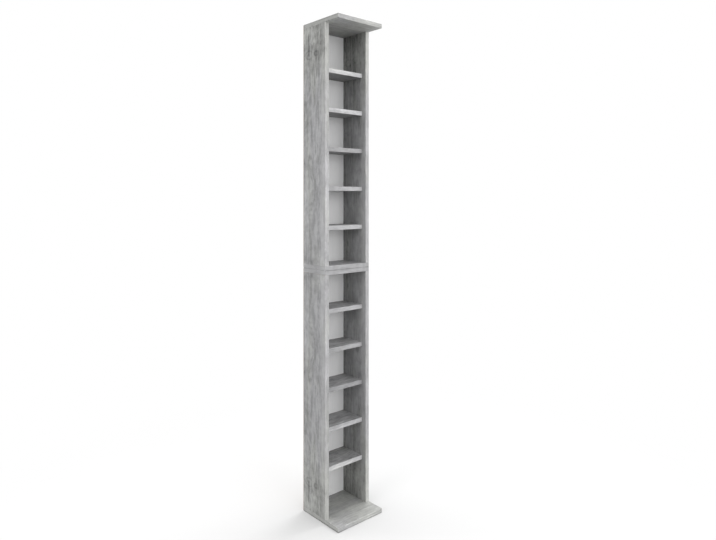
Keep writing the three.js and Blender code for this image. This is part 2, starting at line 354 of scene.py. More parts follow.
# Sides
SIDE_CONTRAST = 0.8
END_CONTRAST = 0.25
END_DARKENING = 0.04
OUTER_DARKENING = 0.03
TOP_SHARE = 0.72
TOP_DARKENING = 0.2
# Painted shade inside a side, in the corner by the deep plate: how far from the plate it reaches
# and how dark it is
CORNER_SHADE_REACH = 160 * MM
CORNER_SHADE_DARKNESS = 0.2
FRONT_STREAK_EDGE = (35.1 * MM, 16.2 * MM)
FRONT_STREAK_SWAY = 2 * MM
FRONT_STREAK_LIFT = 0.13
FRONT_STREAK_CALM = 0.3

# Plates and bands
PLATE_CONTRAST = 0.7
PLATE_BREADTH = 0.25
BAND_CONTRAST = 0.54
RUBBED_ACROSS = (0.84, 0.97)
RUBBED_PLASTER = (0.0, 1.4)
RUBBED_LIFT = 0.18
# Painted contact shadow on a band just above the floor: the height where it starts and where it is
# full, and how dark it is
FLOOR_SHADOW_EDGE = (5 * MM, 2 * MM)
FLOOR_SHADOW_DARKNESS = 0.4
# Painted shadow where the two middle plates meet: how far from the joint it starts and where it is
# full, and how dark it is on the front bands and on the other bands
JOINT_SHADOW_EDGE = (2.4 * MM, 0.96 * MM)
FRONT_JOINT_SHADOW = 0.4
END_JOINT_SHADOW = 0.04

# Painted shade at the back of a compartment: how much darker a face is there, and how far in front
# that starts
SIDE_REAR_SHADE = (0.16, 45 * MM)
SHELF_REAR_SHADE = (0.3, 60 * MM)
PLATE_REAR_SHADE = (0.2, 45 * MM)
TOP_REAR_SHADE = (0.5, 170 * MM)

# Roughness, how much it varies, and the depth and strength of the relief
PRINT_SPECULAR = 0.4
DECOR_SURFACE = (0.56, 0.03, 0.05 * MM, 0.35)
BAND_SURFACE = (0.5, 0.025, 0.03 * MM, 0.3)


class Print:
    """The layers of the printed decor for a grain direction.

    The upper cabinet is the lower one turned over, so its print runs from the top down.
    """

    def __init__(self, finish, grain, turned_over):
        here = finish.place()
        if turned_over:
            here = here.scaled((1.0, 1.0, -1.0)).moved((0.0, 0.0, tower_top))
        self.height = here.part("Z")
        self.end = self.height.step(END_SHARE * tower_top, 0.0)
        sway = finish.noise(here.scaled(stretched(grain, *SWAY_SIZE)), detail=1.0) * SWAY
        bent = here.moved(finish.node("CombineXYZ", values={0: sway, 1: sway, 2: sway}))

        self.tone = finish.noise(here.scaled(stretched(grain, *TONE_SIZE)), detail=1.0)
        self.clouds = finish.noise(bent.scaled(stretched(grain, *CLOUD_SIZE)), detail=3.0)
        self.streaks = finish.noise(bent.scaled(stretched(grain, *STREAK_SIZE)), detail=3.0)
        self.fibres = finish.noise(bent.scaled(stretched(grain, *FIBRE_SIZE)), detail=3.0)
        self.plaster = finish.noise(here.scaled(even(PLASTER_SIZE)), detail=6.0, roughness=0.64)

        growth = finish.noise(bent.scaled(stretched(grain, *GROWTH_SIZE)), detail=0.0)
        self.rings = (growth * GROWTH_TURN).sine()

        from_knot = finish.cells(bent.scaled(stretched(grain, *KNOT_SPACING)))
        self.knots = from_knot.step(*KNOT_EDGE)
        self.knot_rings = (from_knot * KNOT_TURN).sine() * from_knot.step(*KNOT_RINGS_EDGE)
        self.swirls = self.swirled_knots(finish, here)

        pores = finish.cells(bent.scaled(stretched(grain, *PORE_SPACING)))
        self.pores = pores.step(*PORE_EDGE)
        split = finish.noise(bent.scaled(stretched(grain, *CRACK_SIZE)), detail=4.0, roughness=0.6)
        self.cracks = split.math("ABSOLUTE").step(*CRACK_EDGE) * self.clouds.step(*CRACKED_CLOUDS)
        worn_at = finish.noise(bent.scaled(stretched(grain, *WORN_SIZE)), detail=5.0, roughness=0.7)
        self.worn = worn_at.step(*WORN_EDGE)
        blots = finish.noise(here.scaled(stretched(grain, *TINT_SIZE)), detail=2.0)
        coolness = UPRIGHT_COOLNESS if grain == Z_AXIS else LEVEL_COOLNESS
        self.warmth = blots * WARMTH_VARIATION + self.end * END_WARMTH - coolness

    def swirled_knots(self, finish, here):
        """Two ringed knots beside each other, one dark in its middle and the other pale."""
        depth, height = SWIRLS_MIDDLE
        width, length = SWIRL_SIZE
        from_middle = here.moved((0.0, -depth, -height))
        folded = finish.node("VectorMath", {"operation": "ABSOLUTE"}, {0: from_middle})
        from_knot = folded.moved((0.0, -SWIRLS_APART / 2, 0.0)).scaled((0.0, 1 / width, 1 / length))
        away = finish.node("VectorMath", {"operation": "LENGTH"}, {0: from_knot}, output="Value")
        away = away + self.clouds * SWIRL_RAGGEDNESS
        turn = away * SWIRL_TURN + from_middle.part("Y") * SWIRLS_TWIST + SWIRLS_PHASE
        return turn.sine().step(*SWIRL_RING_EDGE) * away.step(*SWIRL_EDGE)

    def sum_of(self, marks):
        return sum(getattr(self, kind) * weight for kind, weight in marks.items())

    def lightness(self, contrast=1.0, breadth=1.0):
        """About 1 and livelier with contrast. breadth is the strength of the broad marks in it."""
        return (self.sum_of(BROAD_MARKS) * breadth + self.sum_of(FINE_MARKS)) * contrast + 1.0


def print_surface(finish, layers, lightness, surface):
    """The print, as light as given, under its matte coat."""
    roughness, variation, depth, strength = surface
    tone = finish.mix(layers.warmth.step(*WARMTH_RANGE), DECOR_COOL, DECOR_WARM)
    return finish.surface(
        tone.times(lightness),
        roughness=layers.streaks * variation + roughness,
        specular=PRINT_SPECULAR,
        normal=finish.bump(layers.sum_of(RELIEF), depth, strength),
    )


def painted_rear_shade(finish, darkening, depth):
    """Painted shade: dims a face inside a compartment towards the back."""
    shade = finish.place().part("Y").step(tower_rear - depth, tower_rear)
    return 1 - shade * darkening


def side_decor(name, turned_over, inside):
    """The decor of a side: livelier near the deep plates, darker at the top and paler in front.
    Inside, painted shade darkens it in the corner by the deep plate and towards the back.
    """
    finish = new_finish(name)
    layers = Print(finish, Z_AXIS, turned_over)
    end = layers.end
    top = finish.place().part("Z").step(TOP_SHARE * tower_top, tower_top)
    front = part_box("lower_left_side")[0].y
    depth = finish.place().part("Y") + layers.streaks * FRONT_STREAK_SWAY
    streak = depth.step(*(front + edge for edge in FRONT_STREAK_EDGE))
    contrast = (end * END_CONTRAST + SIDE_CONTRAST) * (1 - streak * FRONT_STREAK_CALM)
    lightness = (
        layers.lightness(contrast)
        - end * END_DARKENING
        - top * TOP_DARKENING
        + streak * FRONT_STREAK_LIFT
    )
    if inside:
        # Painted shade in the corner by the deep plate, kept out of the pale strip in front, and at
        # the back of the compartment
        corner = layers.height.step(CORNER_SHADE_REACH, 0.0) * (1 - streak) * CORNER_SHADE_DARKNESS
        lightness = (lightness - corner) * painted_rear_shade(finish, *SIDE_REAR_SHADE)
    else:
        lightness = lightness - OUTER_DARKENING
    return print_surface(finish, layers, lightness, DECOR_SURFACE)


def flat_decor(name, turned_over, tone_and_light, rear=None, contrast=1.0, breadth=1.0):
    """The decor of a shelf or a plate, with its grain across the width. Its lightness factor holds
    painted light and shade, and rear adds painted shade towards the back.
    """
    finish = new_finish(name)
    layers = Print(finish, X_AXIS, turned_over)
    lightness = layers.lightness(contrast, breadth) * tone_and_light
    # Painted shade towards the back of the compartment
    if rear is not None:
        lightness = lightness * painted_rear_shade(finish, *rear)
    return print_surface(finish, layers, lightness, DECOR_SURFACE)


def edge_band(name, grain, turned_over, tone_and_light):
    """The print on a band: calmer and paler and rubbed along its arrises, with a painted contact
    shadow just above the floor.

    Where the two middle plates meet, a painted shadow darkens the bands: strongly those whose grain
    runs across the width, and faintly the others.
    """
    finish = new_finish(name)
    layers = Print(finish, grain, turned_over)
    across = finish.node("Attribute", {"attribute_name": ACROSS_EDGE}, output="Fac")
    rubbed = across.step(*RUBBED_ACROSS) * layers.plaster.step(*RUBBED_PLASTER)
    height = finish.place().part("Z")
    # Painted contact shadow just above the floor
    floor_shadow = height.step(*FLOOR_SHADOW_EDGE)
    # Painted shadow where the two middle plates meet
    joint_shadow = (height - tower_top / 2).math("ABSOLUTE").step(*JOINT_SHADOW_EDGE)
    joint_shadow_darkness = FRONT_JOINT_SHADOW if grain == X_AXIS else END_JOINT_SHADOW
    # Its lightness factor is partly painted light; the floor and joint terms are painted shadow
    shade = tone_and_light - floor_shadow * FLOOR_SHADOW_DARKNESS - joint_shadow * joint_shadow_darkness
    lightness = (layers.lightness(BAND_CONTRAST) + rubbed * RUBBED_LIFT) * shade
    return print_surface(finish, layers, lightness, BAND_SURFACE)


# Raw chipboard: its lightness beside a chip's middle, and what the chips and the dust add

CHIPS_TO_THE_METRE = (600.0, 450.0, 500.0)
DUST_SIZE = 0.7 * MM
CHIP_SHADE = 0.8
CHIP_LIFT = 0.4
DUST_LIFT = 0.05
DUST_RELIEF = 0.1

# Back panels. The bare side's relief and roughness come on top of the coated side's.

COAT_THICKNESS = 0.25 * MM
COAT_EDGE = 0.025 * MM
MOTTLE_SIZE = (12 * MM, 12 * MM, 50 * MM)
MOTTLE_LIFT = 0.012
SMEAR_SIZE = (50 * MM, 50 * MM, 130 * MM)
SMEAR_LIFT = 0.06
BOARD_FIBRE_SIZE = 0.9 * MM
BOARD_FIBRE_EDGE = (0.3, 1.8)
BOARD_FIBRE_LIFT = 0.06
COATED_FIBRE_RELIEF = 0.1
BARE_FIBRE_RELIEF = 0.9
SCREEN_TURN = math.tau / (2.4 * MM)
SCREEN_RELIEF = 0.8
COAT_ROUGHNESS = 0.5
BARE_ROUGHNESS = 0.25
FIBRE_ROUGHNESS = 0.01

# Beech and metal

BEECH_GRAIN_TO_THE_METRE = (1400.0, 1400.0, 60.0)
BEECH_GRAIN_RANGE = (-1.5, 1.5)
BEECH_FLECKS_TO_THE_METRE = (900.0, 900.0, 260.0)
BEECH_FLECK_EDGE = (0.25, 0.1)
BEECH_FLECK_DARKENING = 0.2
ZINC_CLOUDS_TO_THE_METRE = (250.0, 250.0, 250.0)
WIRE_MARKS_TO_THE_METRE = (1600.0, 60.0, 1600.0)
METAL_CLOUD_LIFT = 0.03

# How much the grain of the beech or the marks on the metal change its roughness
FINE_ROUGHNESS = 0.02


def raw_chipboard():
    """Sawn particle board, where neither decor nor band covers it."""
    finish = new_finish("raw_chipboard")
    here = finish.place()
    chips = finish.cells(here.scaled(CHIPS_TO_THE_METRE))
    dust = finish.noise(here.scaled(even(DUST_SIZE)), detail=3.0)
    lightness = chips * CHIP_LIFT + dust * DUST_LIFT + CHIP_SHADE
    return finish.surface(
        finish.mix(chips, CHIP_DARK, CHIP_PALE).times(lightness),
        roughness=0.9,
        normal=finish.bump(chips + dust * DUST_RELIEF, distance=0.4 * MM, strength=0.6),
    )


def back_board():
    """Hardboard, coated pale grey in front, with bare brown fibre behind and at its edges.

    Its rear bears the faint print of the screen that it was pressed on.
    """
    finish = new_finish("back_board")
    here = finish.place()
    coat_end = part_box("lower_back_panel")[0].y + COAT_THICKNESS
    bare = here.part("Y").step(coat_end - COAT_EDGE, coat_end + COAT_EDGE)
    mottle = finish.noise(here.scaled([1 / size for size in MOTTLE_SIZE]), detail=4.0)
    smear = finish.noise(here.scaled([1 / size for size in SMEAR_SIZE]), detail=4.0)
    fibre = finish.noise(here.scaled(even(BOARD_FIBRE_SIZE)), detail=4.0, roughness=0.7)
    screen = (here.part("X") * SCREEN_TURN).sine() * (here.part("Z") * SCREEN_TURN).sine() * bare
    coat = finish.even_tone(BACK_COAT).times(mottle * MOTTLE_LIFT + 1.0)
    brown = finish.mix(fibre.step(*BOARD_FIBRE_EDGE), HARDBOARD, HARDBOARD_FIBRE)
    brown = brown.times(smear * SMEAR_LIFT + fibre * BOARD_FIBRE_LIFT + 1.0)
    relief = fibre * (bare * BARE_FIBRE_RELIEF + COATED_FIBRE_RELIEF) + screen * SCREEN_RELIEF
    return finish.surface(
        finish.mix(bare, coat, brown),
        roughness=bare * BARE_ROUGHNESS + fibre * FIBRE_ROUGHNESS + COAT_ROUGHNESS,
        specular=PRINT_SPECULAR,
        normal=finish.bump(relief, distance=0.05 * MM, strength=0.4),
    )


def bare_beech():
    finish = new_finish("bare_beech")
    here = finish.place()
    grain = finish.noise(here.scaled(BEECH_GRAIN_TO_THE_METRE), detail=3.0)
    flecks = finish.cells(here.scaled(BEECH_FLECKS_TO_THE_METRE)).step(*BEECH_FLECK_EDGE)
    wood = finish.mix(grain.step(*BEECH_GRAIN_RANGE), BEECH_DARK, BEECH_PALE)
    return finish.surface(
        wood.times(1 - flecks * BEECH_FLECK_DARKENING),
        roughness=grain * FINE_ROUGHNESS + 0.66,
        normal=finish.bump(grain, distance=0.01 * MM, strength=0.4),
    )


def plain_metal(name, tone, marks, roughness):
    """Bright metal with slight cloudy marks, so many to the metre along each axis."""
    finish = new_finish(name)
    cloud = finish.noise(finish.place().scaled(marks), detail=4.0)
    return finish.surface(
        finish.even_tone(tone).times(cloud * METAL_CLOUD_LIFT + 1.0),
        metallic=1.0,
        roughness=cloud * FINE_ROUGHNESS + roughness,
        normal=finish.bump(cloud, distance=0.004 * MM, strength=0.3),
    )


# Pieces


def edges_at(verts):
    """The edges that end at these vertices, each once and in the same order in each run."""
    return list(dict.fromkeys(edge for vert in verts for edge in vert.link_edges))


def ordered_mesh(name, bm):
    """A mesh whose vertices and faces are ordered by place, so that each run makes the same."""
    verts = sorted(bm.verts, key=lambda vert: vert.co[:])
    rank = {vert: i for i, vert in enumerate(verts)}
    faces = [([rank[vert] for vert in face.verts], face.material_index) for face in bm.faces]
    faces.sort(key=lambda face: sorted(face[0]))

    mesh = bpy.data.meshes.new(name)
    mesh.from_pydata([vert.co for vert in verts], [], [corners for corners, _ in faces])
    mesh.polygons.foreach_set("material_index", [finish for _, finish in faces])
    across = bm.verts.layers.float.get(ACROSS_EDGE)
    if across is not None:
        marks = mesh.attributes.new(ACROSS_EDGE, "FLOAT", "POINT")
        marks.data.foreach_set("value", [vert[across] for vert in verts])
    return mesh


def add_piece(name, bm, finishes, nodes):
    """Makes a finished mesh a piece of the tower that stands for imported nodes."""
    mesh = ordered_mesh(name, bm)
    bm.free()
    for finish in finishes:
        mesh.materials.append(finish)
    piece = bpy.data.objects.new(name, mesh)
    bpy.context.scene.collection.objects.link(piece)
    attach(piece, "root")
    if nodes:
        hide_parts(*nodes)
    return piece


# Boards

ARRIS = 0.9 * MM
ARRIS_SEGMENTS = 3
WELD = 0.002 * MM
ON_FACE = 0.01 * MM
ALONG = 0.999
FLAT_ANGLE = math.radians(0.5)

SHELF_COUNT = 5


class Board:
    """A copy of a packed board, with its flat faces whole and the arrises of its bands eased."""

    def __init__(self, node, thickness_axis, banded):
        self.node = node
        self.axis = thickness_axis
        self.banded = banded
        self.low, self.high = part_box(node)
        self.bm = bmesh.new()
        self.bm.from_mesh(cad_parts[node].data)
        bmesh.ops.remove_doubles(self.bm, verts=self.bm.verts, dist=WELD)
        bmesh.ops.dissolve_limit(
            self.bm, angle_limit=FLAT_ANGLE, verts=self.bm.verts, edges=self.bm.edges
        )
        self.ease()
        self.split_at_middle()
        bmesh.ops.dissolve_degenerate(self.bm, dist=WELD, edges=self.bm.edges)

    def side_of(self, face):
        """(axis, end) of the side of the board that a face lies on, or None in a hole."""
        centre = face.calc_center_median()
        for axis in range(3):
            for end, limit in ((-1, self.low[axis]), (1, self.high[axis])):
                if face.normal[axis] * end > ALONG and abs(centre[axis] - limit) < ON_FACE:
                    return axis, end
        return None

    def ease(self):
        """Rounds the edges between the band and the decor, and between two bands."""
        eased_sides = {*self.banded, (self.axis, -1), (self.axis, 1)}
        arrises = []
        for edge in self.bm.edges:
            met = {self.side_of(face) for face in edge.link_faces}
            if len(met) == 2 and met <= eased_sides and met & set(self.banded):
                arrises.append(edge)
        bmesh.ops.bevel(
            self.bm,
            geom=arrises,
            offset=ARRIS,
            affect="EDGES",
            segments=ARRIS_SEGMENTS,
            profile=0.5,
            material=-1,
        )

    def split_at_middle(self):
        """Cuts the faces at half the thickness and marks how far from there each vertex lies."""
        middle = (self.low + self.high) / 2
        normal = Vector([float(axis == self.axis) for axis in range(3)])
        geom = [*self.bm.verts, *self.bm.edges, *self.bm.faces]
        bmesh.ops.bisect_plane(self.bm, geom=geom, plane_co=middle, plane_no=normal)
        across = self.bm.verts.layers.float.new(ACROSS_EDGE)
        half = (self.high[self.axis] - self.low[self.axis]) / 2
        for vert in self.bm.verts:
            vert[across] = abs(vert.co[self.axis] - middle[self.axis]) / half

    def near_side(self, face):
        """The banded side that an eased face belongs to, or None."""
        centre = face.calc_center_median()
        for axis, end in self.banded:
            limit = self.high[axis] if end > 0 else self.low[axis]
            if abs(centre[axis] - limit) < ARRIS:
                return axis, end
        return None

    def dress(self, decors, bands, raw):
        """Gives each face its finish. decors holds one for each end of the thickness, low first."""
        low_decor, high_decor = decors
        covers = {(self.axis, -1): low_decor, (self.axis, 1): high_decor, **bands}
        covered = [None, *covers]
        self.bm.normal_update()
        for face in self.bm.faces:
            side = self.side_of(face) or self.near_side(face)
            face.material_index = covered.index(side if side in covers else None)
        finishes = [raw, *covers.values()]
        add_piece(self.node + "_board", self.bm, finishes, [self.node])


def plates_of(cabinet):
    """The deep and the shallow plate of a cabinet."""
    return ("base_plate" if cabinet == "lower" else "top_plate", f"{cabinet}_middle_plate")


def dress_sides(cabinet, turned_over, raw):
    outside = side_decor(f"{cabinet}_side_decor", turned_over, inside=False)
    inside = side_decor(f"{cabinet}_side_inner_decor", turned_over, inside=True)
    # The front band's lightness factor is partly painted light
    tone_and_light = SIDE_BAND_TONE_AND_LIGHT[cabinet]
    bands = {FRONT: edge_band(f"{cabinet}_side_band", Z_AXIS, turned_over, tone_and_light)}
    for hand, decors in (("left", (outside, inside)), ("right", (inside, outside))):
        Board(f"{cabinet}_{hand}_side", X_AXIS, list(bands)).dress(decors, bands, raw)


def dress_plates(cabinet, turned_over, raw):
    calm = {"contrast": PLATE_CONTRAST, "breadth": PLATE_BREADTH}
    closing = flat_decor(f"{cabinet}_plate_decor", turned_over, 1.0, **calm)
    for node in plates_of(cabinet):
        # The plate's lightness factors are partly painted light
        inner_tone_and_light, front_tone_and_light, end_tone_and_light = PLATE_TONE_AND_LIGHT[node]
        # Painted shade towards the back of the compartment beside the plate
        rear = TOP_REAR_SHADE if node == "top_plate" else PLATE_REAR_SHADE
        facing = flat_decor(f"{node}_inner_decor", turned_over, inner_tone_and_light, rear, **calm)
        end_band = edge_band(f"{node}_end_band", Y_AXIS, turned_over, end_tone_and_light)
        bands = {
            FRONT: edge_band(f"{node}_front_band", X_AXIS, turned_over, front_tone_and_light),
            LEFT: end_band,
            RIGHT: end_band,
        }
        faces_up = node in ("base_plate", "upper_middle_plate")
        decors = (closing, facing) if faces_up else (facing, closing)
        Board(node, Z_AXIS, list(bands)).dress(decors, bands, raw)


def dress_shelves(cabinet, turned_over, raw):
    # The shelves' undersides carry painted shade and their tops painted light
    under = flat_decor(
        f"{cabinet}_shelf_under_decor_and_shade", turned_over, SHELF_UNDER_PAINTED_SHADE, SHELF_REAR_SHADE
    )
    above = flat_decor(f"{cabinet}_shelf_top_decor_light_and_shade", turned_over, SHELF_TOP_PAINTED_LIGHT, SHELF_REAR_SHADE)
    for i in range(SHELF_COUNT):
        node = f"{cabinet}_shelf_{i + 1}"
        bands = {FRONT: edge_band(f"{node}_band", X_AXIS, turned_over, SHELF_BAND_TONE_AND_LIGHT[node])}
        Board(node, Z_AXIS, list(bands)).dress((under, above), bands, raw)


def dress_boards():
    raw = raw_chipboard()
    for cabinet, turned_over in (("lower", False), ("upper", True)):
        dress_sides(cabinet, turned_over, raw)
        dress_plates(cabinet, turned_over, raw)
        dress_shelves(cabinet, turned_over, raw)


def dress_nodes(finish, name_ending):
    for name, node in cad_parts.items():
        if name.endswith(name_ending):
            node.data.materials.clear()
            node.data.materials.append(finish)


# Turned and bent fittings, made in millimetres about Z with the head at the origin

SPIN_STEPS = 48
SOCKET_CORNERS = 6
SMOOTH_ANGLE = math.radians(30.0)
MERGE = 0.001

# Radius and height of each point of an outline
SCREW_OUTLINE = (
    (2.7, 0.0), (4.7, 0.0), (4.92, 0.08), (5.0, 0.3), (5.0, 0.9), (4.9, 1.1), (3.5, 3.5),
    (3.5, 12.6), (3.2, 13.0), (2.5, 13.6), (2.5, 45.8), (2.25, 46.6), (0.5, 49.6), (0.0, 50.0),
)
SLEEVE_OUTLINE = (
    (2.0, 0.0), (5.2, 0.0), (5.42, 0.08), (5.5, 0.25), (5.5, 0.7), (5.4, 0.9), (3.5, 2.8),
    (3.5, 25.6), (3.1, 26.0), (2.4, 26.0), (2.15, 25.7), (2.15, 8.0), (0.0, 8.0),
)
BOLT_OUTLINE = (
    (2.0, 0.0), (5.2, 0.0), (5.42, 0.08), (5.5, 0.25), (5.5, 0.7), (5.4, 0.9), (2.0, 2.8),
    (1.7, 3.3), (1.7, 19.5), (1.3, 20.0), (0.0, 20.0),
)
NAIL_OUTLINE = (
    (0.0, -0.22), (0.8, -0.2), (1.3, -0.12), (1.5, 0.05), (1.42, 0.18), (0.65, 0.4), (0.65, 12.4),
    (0.3, 13.6), (0.0, 14.2),
)


def turned(outline, steps=SPIN_STEPS):
    """A round solid from its outline."""
    bm = bmesh.new()
    verts = [bm.verts.new((radius, 0.0, height)) for radius, height in outline]
    edges = [bm.edges.new(pair) for pair in zip(verts, verts[1:])]
    bmesh.ops.spin(
        bm, geom=[*verts, *edges], axis=(0, 0, 1), cent=(0, 0, 0), angle=math.tau, steps=steps,
        use_merge=True,
    )
    bmesh.ops.remove_doubles(bm, verts=bm.verts, dist=MERGE)
    return bm


def sink_socket(bm, width, depth):
    """Closes the ring that a turned head leaves open about its axis with a hexagonal socket."""
    ring = [edge for edge in bm.edges if edge.is_boundary]
    corners = bmesh.ops.create_circle(
        bm, segments=SOCKET_CORNERS, radius=width / math.sqrt(3.0)
    )["verts"]
    cuts = SPIN_STEPS // SOCKET_CORNERS - 1
    bmesh.ops.subdivide_edges(bm, edges=edges_at(corners), cuts=cuts)
    mouth = [edge for edge in bm.edges if edge.is_wire]
    bmesh.ops.bridge_loops(bm, edges=[*ring, *mouth])
    walls = bmesh.ops.extrude_edge_only(bm, edges=mouth)["geom"]
    sunk = [item for item in walls if isinstance(item, bmesh.types.BMVert)]
    bmesh.ops.translate(bm, verts=sunk, vec=(0, 0, depth))
    bmesh.ops.edgeloop_fill(bm, edges=[edge for edge in bm.edges if edge.is_boundary])
    bmesh.ops.recalc_face_normals(bm, faces=bm.faces)


# A thread's ridge: half widths of its foot and crest in pitches, how it runs out at its ends, and
# how far above the shaft a vertex still counts as on it
RIDGE_FOOT = 0.23
RIDGE_CREST = 0.04
RIDGE_START = 0.1
RIDGE_LEAST = 0.05
ON_SHAFT = 0.01


def wind_thread(bm, root, crest, pitch, start, end, steps):
    """Winds a ridge about a shaft. Its crest rises and falls over the first and last turn."""
    section = [
        (root, -RIDGE_FOOT * pitch),
        (crest, -RIDGE_CREST * pitch),
        (crest, RIDGE_CREST * pitch),
        (root, RIDGE_FOOT * pitch),
    ]
    verts = [bm.verts.new((radius, 0.0, start + height)) for radius, height in section]
    edges = [bm.edges.new((vert, verts[i - 1])) for i, vert in enumerate(verts)]
    turns = (end - start) / pitch
    older = set(bm.verts) - set(verts)
    last = bmesh.ops.spin(
        bm, geom=[*verts, *edges], axis=(0, 0, 1), cent=(0, 0, 0), dvec=(0, 0, pitch / steps),
        angle=turns * math.tau, steps=round(turns * steps),
    )["geom_last"]
    bmesh.ops.edgeloop_fill(bm, edges=edges)
    last_edges = [item for item in last if isinstance(item, bmesh.types.BMEdge)]
    bmesh.ops.edgeloop_fill(bm, edges=last_edges)
    for vert in set(bm.verts) - older:
        radius = math.hypot(vert.co.x, vert.co.y)
        if radius > root + ON_SHAFT:
            from_ends = min(vert.co.z - start, end - vert.co.z) / pitch + RIDGE_START
            rise = max(RIDGE_LEAST, min(1.0, from_ends))
            kept = (root + (radius - root) * rise) / radius
            vert.co.x *= kept
            vert.co.y *= kept
    bmesh.ops.recalc_face_normals(bm, faces=bm.faces)


def corner_screw():
    bm = turned(SCREW_OUTLINE)
    sink_socket(bm, width=4.0, depth=2.5)
    wind_thread(bm, root=2.4, crest=3.5, pitch=4.0, start=14.6, end=46.2, steps=24)
    return bm


def connector_sleeve():
    bm = turned(SLEEVE_OUTLINE)
    sink_socket(bm, width=3.0, depth=1.8)
    return bm


def connector_bolt():
    bm = turned(BOLT_OUTLINE)
    sink_socket(bm, width=3.0, depth=1.8)
    wind_thread(bm, root=1.65, crest=2.0, pitch=0.7, start=4.2, end=19.2, steps=16)
    return bm


DOWEL_RADIUS = 4.0
FLUTE_RADIUS = 3.65
DOWEL_END_TAPER = 0.78
DOWEL_CHAMFER = 1.0
DOWEL_SHAFT = 28.0
DOWEL_RIM_STEPS = 72
FLUTE_EVERY = 4


def fluted_dowel():
    """A beech dowel with chamfered ends and a flute at every fourth vertex of its rim."""
    bm = bmesh.new()
    rim = bmesh.ops.create_circle(bm, segments=DOWEL_RIM_STEPS, radius=DOWEL_RADIUS)["verts"]
    for vert in rim[::FLUTE_EVERY]:
        vert.co *= FLUTE_RADIUS / DOWEL_RADIUS
    edges = edges_at(rim)
    ends = edges
    bmesh.ops.scale(bm, verts=rim, vec=(DOWEL_END_TAPER, DOWEL_END_TAPER, 1.0))
    stretches = (
        (DOWEL_CHAMFER, 1 / DOWEL_END_TAPER),
        (DOWEL_SHAFT, 1.0),
        (DOWEL_CHAMFER, DOWEL_END_TAPER),
    )
    for rise, growth in stretches:
        made = bmesh.ops.extrude_edge_only(bm, edges=edges)["geom"]
        rim = [item for item in made if isinstance(item, bmesh.types.BMVert)]
        edges = [item for item in made if isinstance(item, bmesh.types.BMEdge)]
        edges = [edge for edge in edges if edge.verts[0] in rim and edge.verts[1] in rim]
        bmesh.ops.translate(bm, verts=rim, vec=(0, 0, rise))
        bmesh.ops.scale(bm, verts=rim, vec=(growth, growth, 1.0))
    bmesh.ops.edgeloop_fill(bm, edges=ends)
    bmesh.ops.edgeloop_fill(bm, edges=edges)
    bmesh.ops.recalc_face_normals(bm, faces=bm.faces)
    return bm


def fitting_place(node, upside_down):
    """Where a fitting of that node stands, and which way up."""
    low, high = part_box(node)
    middle = (low + high) / 2
    turn = Matrix.Rotation(math.pi if upside_down else 0.0, 4, "X")
    foot = high.z if upside_down else low.z
    return Matrix.Translation((middle.x, middle.y, foot)) @ turn


def add_fitting(name, bm, place, finish, nodes):
    """Moves a fitting made in millimetres to its place in metres and adds it."""
    bmesh.ops.transform(bm, matrix=place @ Matrix.Scale(MM, 4), verts=bm.verts)
    piece = add_piece(name, bm, [finish], nodes)
    piece.data.shade_smooth()
    piece.data.set_sharp_from_angle(angle=SMOOTH_ANGLE)
    return piece


def add_upright_fittings(zinc, beech):
    """The screws, dowels and connectors. Those in a cabinet's upper plate point down."""
    upper_plates = ("lower_middle", "upper_top")
    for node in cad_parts:
        upside_down = node.startswith(upper_plates) or node.endswith("_sleeve")
        if node.startswith("connector") and node.endswith("_screw"):
            bm, finish, slot = connector_bolt(), zinc, "zinc_steel"
        elif node.endswith("_screw"):
            bm, finish, slot = corner_screw(), zinc, "zinc_steel"
        elif node.endswith("_sleeve"):
            bm, finish, slot = connector_sleeve(), zinc, "zinc_steel"
        elif node.endswith("_dowel"):
            bm, finish, slot = fluted_dowel(), beech, "beech"
        else:
            continue
        place = fitting_place(node, upside_down)
        add_fitting(f"{node}_turned", bm, place, finish, [node])


WIRE_RADIUS = 1.5
WIRE_BEND = 3.0
WIRE_LEG = 9.0
WIRE_STEPS = 24
WIRE_BEND_STEPS = 8


def bent_wire(span):
    """A shelf wire: two legs along X from inside the side, and a run along Y between two bends."""
    bm = bmesh.new()
    rim = bmesh.ops.create_circle(bm, segments=WIRE_STEPS, radius=WIRE_RADIUS)["verts"]
    start = Matrix.Translation((-WIRE_LEG, -span / 2, 0)) @ Matrix.Rotation(math.pi / 2, 4, "Y")
    bmesh.ops.transform(bm, matrix=start, verts=rim)
    loop = edges_at(rim)
    bmesh.ops.edgeloop_fill(bm, edges=loop)

    def run(loop, by):
        made = bmesh.ops.extrude_edge_only(bm, edges=loop)["geom"]
        verts = [item for item in made if isinstance(item, bmesh.types.BMVert)]
        bmesh.ops.translate(bm, verts=verts, vec=by)
        return [edge for edge in bm.edges if edge.verts[0] in verts and edge.verts[1] in verts]

    def bend(loop, centre):
        verts = list(dict.fromkeys(vert for edge in loop for vert in edge.verts))
        last = bmesh.ops.spin(
            bm, geom=[*verts, *loop], cent=centre, axis=(0, 0, 1), angle=math.pi / 2,
            steps=WIRE_BEND_STEPS,
        )["geom_last"]
        return [item for item in last if isinstance(item, bmesh.types.BMEdge)]

    loop = run(loop, (WIRE_LEG, 0, 0))
    loop = bend(loop, (0, WIRE_BEND - span / 2, 0))
    loop = run(loop, (0, span - 2 * WIRE_BEND, 0))
    loop = bend(loop, (0, span / 2 - WIRE_BEND, 0))
    loop = run(loop, (-WIRE_LEG, 0, 0))
    bmesh.ops.edgeloop_fill(bm, edges=loop)
    bmesh.ops.remove_doubles(bm, verts=bm.verts, dist=MERGE)
    bmesh.ops.recalc_face_normals(bm, faces=bm.faces)
    return bm


